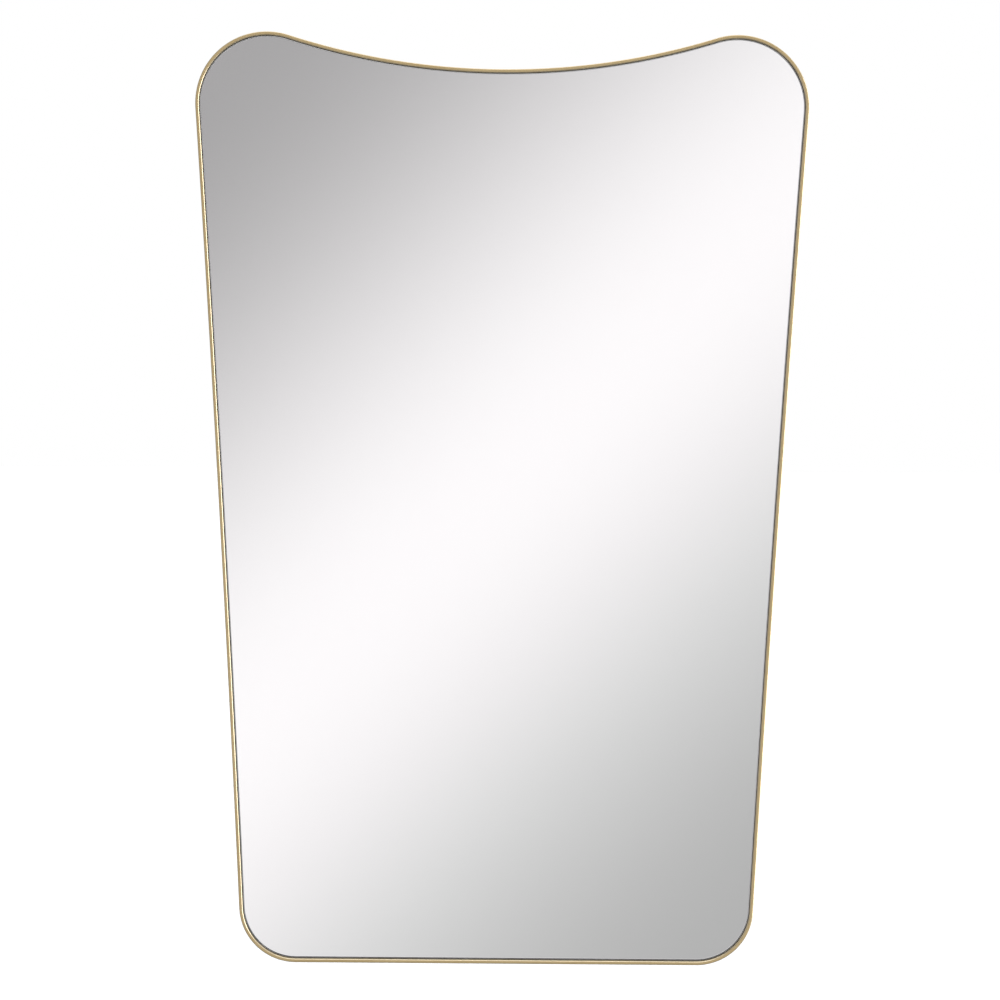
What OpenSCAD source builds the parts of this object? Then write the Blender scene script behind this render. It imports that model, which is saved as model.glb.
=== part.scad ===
// Wall mirror in a slim brass band: wider at the top than at the bottom, with
// rounded shoulders, a top edge that dips in the middle and a flat bottom edge.
//
// Millimetres, +Z up. The glass faces -Y and the wall is the plane y = 0.
// The origin lies on the wall, midway between the two hooks that the hanger
// rings bear on. Every depth below is measured from the wall, towards the room.

/* [Outline] */
// Height from the flat bottom edge to the highest point of the shoulders
height = 914; // [700:1:1200]
// Width over the shoulders, the widest part
top_w = 600; // [480:1:800]
// Width over the bottom corners
bottom_w = 507; // [400:1:620]
// Radius of the shoulders
top_r = 70; // [50:1:110]
// Radius of the bottom corners
bottom_r = 56; // [35:1:90]
// How far the middle of the top edge dips below the shoulders
top_dip = 35; // [20:1:60]
// How far each long side bows in from straight
side_bow = 1.8; // [0.8:0.1:6]

/* [Frame band] */
// Thickness of the flat bar that is bent into the band, seen from the front
band_t = 3.5; // [2:0.1:6]
// How far the band's rear edge stands behind the braze fillets of the lugs
rear_lip = 0.3; // [0.2:0.1:3]
// Gap between the wall and the band's rear edge
wall_gap = 5; // [3:0.5:10]

/* [Glass] */
// Thickness of the mirror glass
glass_t = 4; // [3:0.5:6]
// How far the glass sits behind the band's front edge
glass_recess = 4; // [1:0.1:6]
// Gap all round between the glass and the band
glass_gap = 0.8; // [0.4:0.1:2]

/* [Backing] */
// Thickness of the double-sided foam tape between glass and board
tape_t = 1.5; // [0.8:0.1:3]
// Width of one strip of tape
tape_w = 24; // [12:1:40]
// Number of tape strips, from the bottom edge to the top edge
tape_count = 5; // [3:1:8]
// Distance from the board's edges to the ends of the tape and its outer strips
tape_margin = 45; // [25:1:80]
// Thickness of the fibreboard
board_t = 9; // [8:0.5:14]
// Gap all round between the board and the band
board_gap = 1; // [0.5:0.1:3]

/* [Lugs] */
// Thickness of the lugs brazed into the band
lug_t = 1.5; // [1:0.1:3]
// Width of a lug along the band
lug_w = 14; // [10:0.5:20]
// Distance from the band's inner wall to the lug's screw
lug_reach = 10; // [8:0.5:14]
// Leg of the braze fillet that joins a lug to the band
braze_leg = 1.2; // [0.6:0.1:2]
// Number of lugs on each long side
side_lugs = 3; // [2:1:5]
// Distance from the start of a corner to the nearest lug
lug_margin = 70; // [30:1:100]

/* [Screws] */
// Shank diameter of the lug screws
screw_d = 3; // [2.5:0.1:4]
// Shank length of the lug screws
screw_l = 8.5; // [5:0.5:9]
// Head diameter of the lug screws
screw_head_d = 5.6; // [4.5:0.1:8]
// Head height of the lug screws
screw_head_h = 1.8; // [1.2:0.1:2.6]
// Shank diameter of the hanger screws
hanger_screw_d = 3.5; // [3:0.1:4]
// Shank length of the hanger screws
hanger_screw_l = 8.5; // [5:0.5:9]
// Head diameter of the countersunk hanger screws
hanger_head_d = 6; // [5:0.1:6.2]

/* [Hangers] */
// Distance between the two hanger rings
hanger_spacing = 406; // [200:1:440]
// Distance from the highest point of the mirror down to the hooks
hang_drop = 210; // [150:1:320]
// Thickness of the sheet steel of the strap, which is folded double
strap_t = 0.8; // [0.7:0.05:1]
// Width of the strap
strap_w = 12; // [9:0.5:13]
// Length of the strap below the ring's axis
strap_l = 36; // [34:0.5:50]
// Distance from the ring's axis to the first strap screw
strap_hole_1 = 9; // [8:0.5:10]
// Distance from the ring's axis to the second strap screw
strap_hole_2 = 28; // [26:0.5:29]
// Wire diameter of the ring
ring_wire_d = 2.5; // [2:0.1:2.6]
// Inside radius of the ring's round end
ring_r = 8; // [7.5:0.5:10]
// Length of the ring's straight legs
ring_leg = 7; // [6:0.5:9]
// Bend radius at the ring's two square corners, on the wire's centre line
ring_bend = 2.5; // [1.5:0.1:3]

/* [Bumpers] */
// Diameter of a wall bumper
bumper_d = 18; // [10:0.5:24]
// Distance from the mirror's outline to a bumper's centre, at the corners
bumper_inset = 30; // [24:1:45]

/* [Clearances] */
// Air between a brazed lug and the band's wall, filled by the fillet
braze_gap = 0.05; // [0.02:0.01:0.2]
// Radial play between a screw and the hole that it bites into
thread_gap = 0.02; // [0.01:0.01:0.05]
// Radial play between a screw and the lug or strap that it passes through
hole_gap = 0.3; // [0.1:0.05:0.5]
// Radial play between the ring's wire and the strap's loop
loop_gap = 0.07; // [0.03:0.01:0.1]
// Air between the hanging ring and the strap that it leans on
rest_gap = 0.15; // [0.1:0.05:0.4]

/* [Hidden] */
$fn = 96;

// Depths, as distances from the wall. The band is as deep as what it holds.
band_back = wall_gap;
lug_back = band_back + rear_lip + braze_leg;
board_back = lug_back + lug_t;
board_front = board_back + board_t;
glass_back = board_front + tape_t;
glass_front = glass_back + glass_t;
band_front = glass_front + glass_recess;

// Heights of the flat bottom edge and of the shoulders
z_top = hang_drop;
z_bottom = hang_drop - height;

// Centres of the corner arcs on the right-hand side, as [x, z]
low_c = [bottom_w / 2 - bottom_r, z_bottom + bottom_r];
high_c = [top_w / 2 - top_r, z_top - top_r];

// Arc of the dipping top edge, tangent to both shoulders
dip_r = (pow(high_c.x, 2) + pow(top_r - top_dip, 2) - pow(top_r, 2)) / (2 * top_dip);
dip_c = [0, z_top - top_dip + dip_r];

// Arc of the right-hand side, tangent to the shoulder and the bottom corner
span = high_c - low_c;
side_l = sqrt(span * span - pow(top_r - bottom_r, 2));
side_r = pow(side_l, 2) / (8 * side_bow);
along = (span * span + pow(side_r + bottom_r, 2) - pow(side_r + top_r, 2)) / (2 * norm(span));
across = sqrt(pow(side_r + bottom_r, 2) - pow(along, 2));
side_c = low_c + (along * span + across * [span.y, -span.x]) / norm(span);
side_steps = 12;

// The corner discs are drawn this much too large, to cross what they join
hair = 0.005;

// A cutting shape runs this far past the face that it cuts
past = 1;

// Where the right-hand shoulder runs into the dip, seen from the shoulder's centre
dip_turn = heading(high_c, dip_c);
dip_end = high_c + top_r * toward(dip_turn);

// Bumpers fill the space between the board and the wall at the four corners
low_bumper = low_c + (bottom_r - bumper_inset) * toward(-45);
high_bumper = high_c + (top_r - bumper_inset) * toward(45);
bumper_t = board_back;
bumper_round = 1.5;

// Insets of the pieces from the band's outer face
glass_inset = band_t + glass_gap;
board_inset = band_t + board_gap;

// Tape strips, evenly spaced from the bottom to the valley of the top edge
tape_low = z_bottom + board_inset + tape_margin;
tape_high = z_top - top_dip - board_inset - tape_margin;

// Screws, with a cross recess in each head
recess_w = 0.9;
recess_l = 3.4;
recess_depth = 1;
screw_tip = 1.5;
head_rim = 0.6;
head_crown_d = 3.4;
lug_hole_r = screw_d / 2 + hole_gap;
strap_hole_r = hanger_screw_d / 2 + hole_gap;
strap_back = 2 * strap_t;
sink_clear = 0.05;

// Ring and strap, in the hanger's own frame: x across, y off the board, z up.
// The ring leans on the strap. Below its loop the strap's outer layer turns in by
// neck_turn degrees and lies on the inner one from neck_drop downwards.
wire_r = ring_wire_d / 2;
loop_in = wire_r + loop_gap;
loop_out = loop_in + strap_t;
ring_half = ring_r + wire_r;
ring_z = -(ring_leg + ring_r);
ring_lean = asin((strap_back + wire_r + rest_gap - loop_out) / (ring_leg + ring_half));
neck_turn = -34;
neck_drop = 4.6;

// Every lug as [place on the band's inner wall, inward heading in degrees]
side_lug_z = [for (i = [0:side_lugs - 1])
    low_c.y + lug_margin + i * (high_c.y - low_c.y - 2 * lug_margin) / (side_lugs - 1)];
right_lugs = [for (z = side_lug_z)
    let (a = 180 - asin((z - side_c.y) / side_r))
    [side_c + (side_r + band_t) * toward(a), a]];
left_lugs = [for (g = right_lugs) [[-g[0].x, g[0].y], 180 - g[1]]];
top_lugs = [for (s = [-1, 1])
    let (a = -90 + s * asin((dip_end.x - lug_margin) / dip_r))
    [dip_c + (dip_r + band_t) * toward(a), a]];
bottom_lugs = [for (s = [-1, 1]) [[s * (low_c.x - lug_margin), z_bottom + band_t], 90]];
lugs = concat(left_lugs, right_lugs, top_lugs, bottom_lugs);

sides = ["left", "right"];
corners = ["lower_left", "lower_right", "upper_left", "upper_right"];
bumper_places = [[-low_bumper.x, low_bumper.y], low_bumper, [-high_bumper.x, high_bumper.y], high_bumper];

function toward(a) = [cos(a), sin(a)];
function heading(from, to) = atan2(to.y - from.y, to.x - from.x);

// Points along the right-hand side, from the bottom corner to the shoulder
function side_points(inset) = [
    for (i = [0:side_steps])
        let (
            a = heading(low_c, side_c),
            b = heading(high_c, side_c),
            t = 180 + a + (b - a) * i / side_steps
        )
        side_c + (side_r + inset) * toward(t)
];

// The mirror's outline in the X-Z plane, drawn in by inset all round
module outline(inset = 0) {
    dip_edge = high_c + (top_r - inset + past) * toward(dip_turn);
    half = concat([[low_c.x, z_bottom + inset]], side_points(inset), [high_c, dip_edge]);
    last = len(half) - 1;
    difference() {
        polygon(concat(half, [for (i = [0:last]) [-half[last - i].x, half[last - i].y]]));
        translate(dip_c)
            circle(r = dip_r + inset, $fn = 720);
    }
    for (m = [0, 1])
        mirror([m, 0]) {
            translate(low_c)
                circle(r = bottom_r - inset + hair);
            translate(high_c)
                circle(r = top_r - inset + hair);
        }
}

// Stands a flat drawing up in the X-Z plane, between two distances from the wall
module slab(back, front) {
    translate([0, -back, 0])
        rotate([90, 0, 0])
            linear_extrude(front - back)
                children();
}

module frame_band() {
    color("#b89c60")
        slab(band_back, band_front)
            difference() {
                outline(0);
                outline(band_t);
            }
}

module mirror_glass() {
    color("#c4c9cc")
        slab(glass_back, glass_front)
            outline(glass_inset);
}

// Half width of the board at a given height, between the corners
function board_half(z) = side_c.x - sqrt(pow(side_r + board_inset, 2) - pow(z - side_c.y, 2));

module mounting_tape(i) {
    z = tape_low + (i - 1) * (tape_high - tape_low) / (tape_count - 1);
    half = board_half(z) - tape_margin;
    color("#e8e6df")
        slab(board_front, glass_back)
            translate([-half, z - tape_w / 2])
                square([2 * half, tape_w]);
}

module backing_board() {
    color("#33302d")
        difference() {
            slab(board_back, board_front)
                outline(board_inset);
            for (g = lugs)
                on_band(g)
                    lug_screw_hole();
            for (s = [-1, 1], d = [strap_hole_1, strap_hole_2])
                translate([s * hanger_spacing / 2, -board_back, ring_z - d])
                    hanger_screw_hole();
        }
}

// Puts a piece on the band's inner wall: +X points inwards, +Z along the band
module on_band(g) {
    translate([g[0].x, 0, g[0].y])
        rotate([0, -g[1], 0])
            children();
}

// A hole along Y that opens on the board's back
module hole(r, depth) {
    translate([0, past, 0])
        rotate([90, 0, 0])
            cylinder(r = r, h = depth + past);
}

module lug_screw_hole() {
    translate([lug_reach, -board_back, 0])
        hole(screw_d / 2 + thread_gap, screw_l - lug_t);
}

module hanger_screw_hole() {
    hole(hanger_screw_d / 2 + thread_gap, hanger_screw_l - strap_back);
}

module frame_lug(g) {
    color("#a98d52")
        on_band(g) {
            difference() {
                slab(lug_back, board_back)
                    union() {
                        translate([braze_gap, -lug_w / 2])
                            square([lug_reach - braze_gap, lug_w]);
                        translate([lug_reach, 0])
                            circle(d = lug_w);
                    }
                translate([lug_reach, -lug_back, 0])
                    hole(lug_hole_r, lug_t + past);
            }
            translate([0, -lug_back, -lug_w / 2])
                linear_extrude(lug_w)
                    polygon([[braze_gap, 0], [braze_gap + braze_leg, 0], [braze_gap, braze_leg]]);
        }
}

// A cross recess cut into a head whose top is at y = 0
module cross_recess() {
    for (a = [0, 90])
        rotate([0, a, 0])
            translate([-recess_l / 2, -recess_depth, -recess_w / 2])
                cube([recess_l, recess_depth + past, recess_w]);
}

// A turned shape along Y, drawn as [radius, distance behind the board's face]
module turned(points) {
    rotate([-90, 0, 0])
        rotate_extrude()
            polygon(points);
}

module lug_screw(g) {
    head_r = screw_head_d / 2;
    color("#8d8f92")
        on_band(g)
            translate([lug_reach, -lug_back, 0])
                difference() {
                    turned([
                        [0, -screw_l],
                        [screw_d / 2, -screw_l + screw_tip],
                        [screw_d / 2, 0],
                        [head_r, 0],
                        [head_r, head_rim],
                        [head_crown_d / 2, screw_head_h],
                        [0, screw_head_h]
                    ]);
                    translate([0, screw_head_h, 0])
                        cross_recess();
                }
}

// Puts a piece on the board's back, at the ring axis of one hanger
module on_hanger(side) {
    translate([side * hanger_spacing / 2, -board_back, ring_z])
        children();
}

module countersink(play) {
    r = hanger_head_d / 2 + play;
    s = hanger_screw_d / 2 + play;
    bottom = strap_back - (r - s);
    top = strap_back + past;
    turned([[0, bottom], [s, bottom], [r, strap_back], [r, top], [0, top]]);
}

module hanger_strap(side) {
    neck = [loop_out, 0] + loop_out * toward(neck_turn);
    color("#b9bcc0")
        on_hanger(side)
            difference() {
                rotate([90, 0, 90])
                    linear_extrude(strap_w, center = true)
                        difference() {
                            union() {
                                translate([loop_out, 0])
                                    circle(r = loop_out);
                                polygon([
                                    [0, 0],
                                    [0, -strap_l],
                                    [strap_back, -strap_l],
                                    [strap_back, -neck_drop],
                                    neck,
                                    [loop_out, 0]
                                ]);
                            }
                            translate([loop_out, 0])
                                circle(r = loop_in);
                        }
                for (d = [strap_hole_1, strap_hole_2])
                    translate([0, 0, -d]) {
                        translate([0, strap_back, 0])
                            hole(strap_hole_r, strap_back + past);
                        countersink(hole_gap);
                    }
            }
}

module hanger_screw(side, d) {
    r = hanger_head_d / 2;
    s = hanger_screw_d / 2;
    top = strap_back - sink_clear;
    color("#a7aaae")
        on_hanger(side)
            translate([0, 0, -d])
                difference() {
                    turned([
                        [0, strap_back - hanger_screw_l],
                        [s, strap_back - hanger_screw_l + screw_tip],
                        [s, top - (r - s)],
                        [r, top],
                        [0, top]
                    ]);
                    translate([0, top, 0])
                        cross_recess();
                }
}

// The ring hangs from its straight bar, which runs through the strap's loop
module hanger_ring(side) {
    bar = 2 * (ring_half - ring_bend);
    color("#c9ccd0")
        on_hanger(side)
            translate([0, loop_out, 0])
                rotate([ring_lean, 0, 0]) {
                    translate([-bar / 2, 0, 0])
                        rotate([0, 90, 0])
                            cylinder(r = wire_r, h = bar);
                    for (m = [0, 1])
                        mirror([m, 0, 0]) {
                            translate([bar / 2, 0, -ring_bend])
                                rotate([90, 0, 0])
                                    rotate_extrude(angle = 90)
                                        translate([ring_bend, 0])
                                            circle(r = wire_r);
                            translate([ring_half, 0, -ring_leg])
                                cylinder(r = wire_r, h = ring_leg - ring_bend);
                        }
                    translate([0, 0, -ring_leg])
                        rotate([-90, 0, 0])
                            rotate_extrude(angle = 180)
                                translate([ring_half, 0])
                                    circle(r = wire_r);
                }
}

module wall_bumper(place) {
    r = bumper_d / 2;
    color("#2b2b2d")
        translate([place.x, -bumper_t, place.y])
            turned([
                [0, 0],
                [r, 0],
                [r, bumper_t - bumper_round],
                [r - bumper_round, bumper_t],
                [0, bumper_t]
            ]);
}

frame_band();
mirror_glass();
backing_board();
for (i = [1:tape_count])
    mounting_tape(i);
for (i = [1:len(lugs)]) {
    frame_lug(lugs[i - 1]);
    lug_screw(lugs[i - 1]);
}
for (k = [0, 1]) {
    side = 2 * k - 1;
    hanger_strap(side);
    hanger_ring(side);
    hanger_screw(side, strap_hole_1);
    hanger_screw(side, strap_hole_2);
}
for (k = [0:3])
    wall_bumper(bumper_places[k]);
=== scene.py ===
"""Looks of the wall mirror in a slim brass band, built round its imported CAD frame.

Metres, +Z up. The glass faces -Y, the wall is the plane y = 0 and the origin lies on
the wall, midway between the two hooks. Sizes repeat the named values of the part.
"""

import logging
import math
from collections.abc import Callable, Iterable
from dataclasses import dataclass
from enum import Enum
from typing import Self

import bmesh
import bpy
from mathutils import Matrix, Vector

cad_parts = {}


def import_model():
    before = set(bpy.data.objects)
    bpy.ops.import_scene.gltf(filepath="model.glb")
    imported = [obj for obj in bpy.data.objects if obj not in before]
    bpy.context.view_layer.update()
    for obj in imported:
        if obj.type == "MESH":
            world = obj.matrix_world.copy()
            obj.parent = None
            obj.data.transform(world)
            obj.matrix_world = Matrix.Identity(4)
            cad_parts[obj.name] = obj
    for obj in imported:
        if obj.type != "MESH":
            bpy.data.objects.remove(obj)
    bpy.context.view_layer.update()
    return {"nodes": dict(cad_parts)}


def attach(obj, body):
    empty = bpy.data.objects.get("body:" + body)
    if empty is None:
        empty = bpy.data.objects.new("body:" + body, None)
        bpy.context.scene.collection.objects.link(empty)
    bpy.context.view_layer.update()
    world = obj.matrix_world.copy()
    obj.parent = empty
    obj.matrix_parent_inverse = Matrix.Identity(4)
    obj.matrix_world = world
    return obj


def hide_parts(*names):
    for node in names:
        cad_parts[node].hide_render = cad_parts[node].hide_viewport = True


LOG = logging.getLogger("wall_mirror")
MM = 0.001
CLOSE = 0.01 * MM  # places nearer than this count as one
FLAT = 0.99  # a face whose normal has this much of an axis lies square to it
UPRIGHT = (math.radians(90), 0.0, 0.0)  # turns a primitive's axis from Z to -Y
SIDEWAYS = (0.0, math.radians(90), 0.0)  # turns a primitive's axis from Z to X
ALONG = "along"  # the band's UV map, in metres along the bar and across it

Point = tuple[float, float, float]
Plane = tuple[float, float]
Colour = tuple[float, float, float, float]
Piece = bpy.types.Object
Socket = bpy.types.NodeSocket
Value = float | Socket
Tint = Colour | Socket

WHITE: Colour = (1.0, 1.0, 1.0, 1.0)


class Pick(Enum):
    """What a selection in edit mode is made of."""

    VERTS = "VERT"
    EDGES = "EDGE"
    FACES = "FACE"


class Shape(Enum):
    """Primitives that pieces start from, with the operators that add them."""

    SQUARE = bpy.ops.mesh.primitive_plane_add
    DISC = bpy.ops.mesh.primitive_circle_add
    ROD = bpy.ops.mesh.primitive_cylinder_add
    CUBE = bpy.ops.mesh.primitive_cube_add
    GRID = bpy.ops.mesh.primitive_grid_add
    BALL = bpy.ops.mesh.primitive_uv_sphere_add


class Side(Enum):
    """Left and right as seen from the front, with the sign of X."""

    LEFT = -1
    RIGHT = 1

    @property
    def word(self) -> str:
        """The side's word in node names."""
        return self.name.lower()


@dataclass(frozen=True)
class Run:
    """A straight leg of a sweep."""

    move: Point
    steps: int = 1


@dataclass(frozen=True)
class Turn:
    """An arc of a sweep, turning counter-clockwise as seen against its axis."""

    centre: Point
    degrees: float
    steps: int
    axis: Point = (0.0, -1.0, 0.0)


class Bench:
    """Modelling steps that every piece shares."""

    @staticmethod
    def clear() -> None:
        """Leaves edit mode and deselects everything."""
        if bpy.context.object and bpy.context.object.mode != "OBJECT":
            bpy.ops.object.mode_set(mode="OBJECT")
        bpy.ops.object.select_all(action="DESELECT")

    @staticmethod
    def take(obj: Piece) -> None:
        """Selects one object alone and makes it the active one.

        Args:
            obj: The object.
        """
        Bench.clear()
        obj.select_set(True)
        bpy.context.view_layer.objects.active = obj

    @staticmethod
    def edit(obj: Piece) -> None:
        """Enters edit mode on one object, with all of it selected.

        Args:
            obj: The object.
        """
        Bench.take(obj)
        bpy.ops.object.mode_set(mode="EDIT")
        bpy.ops.mesh.select_mode(type="VERT")
        bpy.ops.mesh.select_all(action="SELECT")

    @staticmethod
    def done() -> None:
        """Leaves edit mode."""
        bpy.ops.object.mode_set(mode="OBJECT")

    @staticmethod
    def make(
        name: str, shape: Shape, middle: Point, turn: Point = (0.0, 0.0, 0.0), **sizes: object
    ) -> Piece:
        """Adds a primitive, and puts its place and turn into its mesh.

        Args:
            name: The object's name.
            shape: Which primitive.
            middle: The place of its middle.
            turn: Its turn.
            **sizes: The operator's other settings.

        Returns:
            The object, in object mode, unturned and unscaled.
        """
        Bench.clear()
        shape.value(location=middle, rotation=turn, **sizes)
        obj = bpy.context.object
        obj.name = obj.data.name = name
        bpy.ops.object.transform_apply(location=True, rotation=True, scale=True)
        return obj

    @staticmethod
    def pick(obj: Piece, kind: Pick, test: Callable[..., bool]) -> None:
        """Selects what passes a test in edit mode, and nothing else.

        Args:
            obj: The object in edit mode.
            kind: Whether vertices, edges or faces are tested.
            test: Takes the element's middle, and also whether an edge is open, or the
                normal of a face.
        """
        bpy.ops.mesh.select_mode(type=kind.value)
        bpy.ops.mesh.select_all(action="DESELECT")
        bm = bmesh.from_edit_mesh(obj.data)
        if kind is Pick.VERTS:
            for v in bm.verts:
                v.select = test(v.co)
        elif kind is Pick.EDGES:
            for e in bm.edges:
                e.select = test((e.verts[0].co + e.verts[1].co) / 2, e.is_boundary)
        else:
            for f in bm.faces:
                f.select = test(f.calc_center_median(), f.normal)
        bm.select_flush_mode()
        bmesh.update_edit_mesh(obj.data)

    @staticmethod
    def sweep(legs: Iterable[Run | Turn]) -> None:
        """Draws the selected section along the legs, one after the other.

        Args:
            legs: The straight runs and the arcs.
        """
        for leg in legs:
            if isinstance(leg, Run):
                part = Vector(leg.move) / leg.steps
                for _ in range(leg.steps):
                    Bench.extrude(part)
            else:
                bpy.ops.mesh.spin(
                    steps=leg.steps,
                    angle=-math.radians(leg.degrees),
                    center=leg.centre,
                    axis=leg.axis,
                    use_normal_flip=False,
                )

    @staticmethod
    def extrude(move: Point | Vector, scale: Point | None = None) -> None:
        """Extrudes the selection, and scales the new part about its middle.

        Args:
            move: How far the new part moves.
            scale: Its scale along X, Y and Z, if it changes.
        """
        bpy.ops.mesh.extrude_region_move(TRANSFORM_OT_translate={"value": move})
        if scale:
            bpy.ops.transform.resize(value=scale)

    @staticmethod
    def lift(rise: float, widen: float) -> None:
        """Extrudes the selection along Y, and widens the new end in X and Z."""
        Bench.extrude((0.0, rise, 0.0), (widen, 1.0, widen))

    @staticmethod
    def tidy(obj: Piece, angle: float = 35.0) -> None:
        """Merges doubles, turns faces outwards and smooths all but sharp edges.

        Args:
            obj: The piece.
            angle: Edges sharper than this many degrees stay sharp.
        """
        Bench.edit(obj)
        bpy.ops.mesh.remove_doubles(threshold=0.002 * MM)
        bpy.ops.mesh.select_all(action="SELECT")
        bpy.ops.mesh.normals_make_consistent(inside=False)
        Bench.done()
        bpy.ops.object.shade_smooth_by_angle(angle=math.radians(angle))

    @staticmethod
    def modify(obj: Piece, kind: str, **settings: object) -> None:
        """Adds one modifier and applies it.

        Args:
            obj: The piece.
            kind: The modifier's type.
            **settings: Its properties.
        """
        Bench.take(obj)
        made = obj.modifiers.new(kind.lower(), kind)
        for name, value in settings.items():
            setattr(made, name, value)
        bpy.ops.object.modifier_apply(modifier=made.name)

    @staticmethod
    def mirror(obj: Piece) -> None:
        """Adds the left half of a piece that was modelled to the right."""
        Bench.modify(obj, "MIRROR", use_axis=(True, False, False), merge_threshold=CLOSE)

    @staticmethod
    def ease(obj: Piece, width: float, segments: int, angle: float) -> None:
        """Rounds the sharp edges.

        Args:
            obj: The piece.
            width: Width of the rounding.
            segments: How many steps it has.
            angle: Only edges sharper than this many degrees are rounded.
        """
        limit = {"limit_method": "ANGLE", "angle_limit": math.radians(angle)}
        Bench.modify(obj, "BEVEL", width=width, segments=segments, **limit)

    @staticmethod
    def level(obj: Piece) -> None:
        """Weights the normals by area, so that flats between eased edges look flat."""
        Bench.modify(obj, "WEIGHTED_NORMAL", keep_sharp=True, weight=100)

    @staticmethod
    def cut(obj: Piece, cutter: Piece) -> None:
        """Takes one object's shape out of another, and removes the cutter."""
        Bench.modify(obj, "BOOLEAN", operation="DIFFERENCE", solver="EXACT", object=cutter)
        bpy.data.objects.remove(cutter)

    @staticmethod
    def merged_node(node: Piece, name: str) -> Piece:
        """Copies a CAD node's mesh as a piece of its own, with its triangles joined.

        Args:
            node: The CAD node.
            name: The new piece's name.

        Returns:
            The piece, with flat areas in one face each.
        """
        piece = bpy.data.objects.new(name, node.data.copy())
        piece.data.name = name
        bpy.context.scene.collection.objects.link(piece)
        Bench.edit(piece)
        bpy.ops.mesh.remove_doubles(threshold=0.001 * MM)
        bpy.ops.mesh.select_all(action="SELECT")
        bpy.ops.mesh.dissolve_limited(angle_limit=math.radians(0.1))
        bpy.ops.mesh.normals_make_consistent(inside=False)
        Bench.done()
        return piece

    @staticmethod
    def paint(obj: Piece, *materials: bpy.types.Material) -> None:
        """Gives a piece its materials, in the order of their numbers.

        Args:
            obj: The piece.
            *materials: The materials, in place of any that it has.
        """
        obj.data.materials.clear()
        for material in materials:
            obj.data.materials.append(material)

    @staticmethod
    def finish(piece: Piece, node: str, slot: str, body: str = "mirror") -> None:
        """Attaches a finished piece to its body and hides the CAD node that it stands for.

        Args:
            piece: The finished piece.
            node: The CAD node that it stands for.
            slot: Not used.
            body: The CAD body that it rides on.
        """
        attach(piece, body)
        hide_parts(node)
        LOG.info("%s: %d faces, on %s", piece.name, len(piece.data.polygons), body)

    @staticmethod
    def place(pattern: Piece, name: str, seat: Matrix, *given: str) -> None:
        """Places a copy of a pattern, with its own mesh, and attaches it to its body.

        Args:
            pattern: The modelled pattern.
            name: The copy's name.
            seat: The turn and move of the copy's mesh.
            *given: Its node, its slot and, if it isn't the mirror, its body.
        """
        twin = pattern.copy()
        twin.data = pattern.data.copy()
        twin.name = twin.data.name = name
        bpy.context.scene.collection.objects.link(twin)
        twin.data.transform(seat)
        Bench.finish(twin, *given)

    @staticmethod
    def discard(*patterns: Piece) -> None:
        """Removes patterns once their copies are placed."""
        for pattern in patterns:
            bpy.data.objects.remove(pattern)


def heading(start: Vector, end: Vector) -> float:
    """Direction from one point of the X-Z plane to another, in degrees."""
    return math.degrees(math.atan2(end[1] - start[1], end[0] - start[0]))


def toward(degrees: float) -> Vector:
    """The unit vector of a heading in the X-Z plane, as (x, z)."""
    return Vector((math.cos(math.radians(degrees)), math.sin(math.radians(degrees))))


def spun(degrees: float) -> Matrix:
    """A turn about the Y axis."""
    return Matrix.Rotation(math.radians(degrees), 4, "Y")


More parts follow.
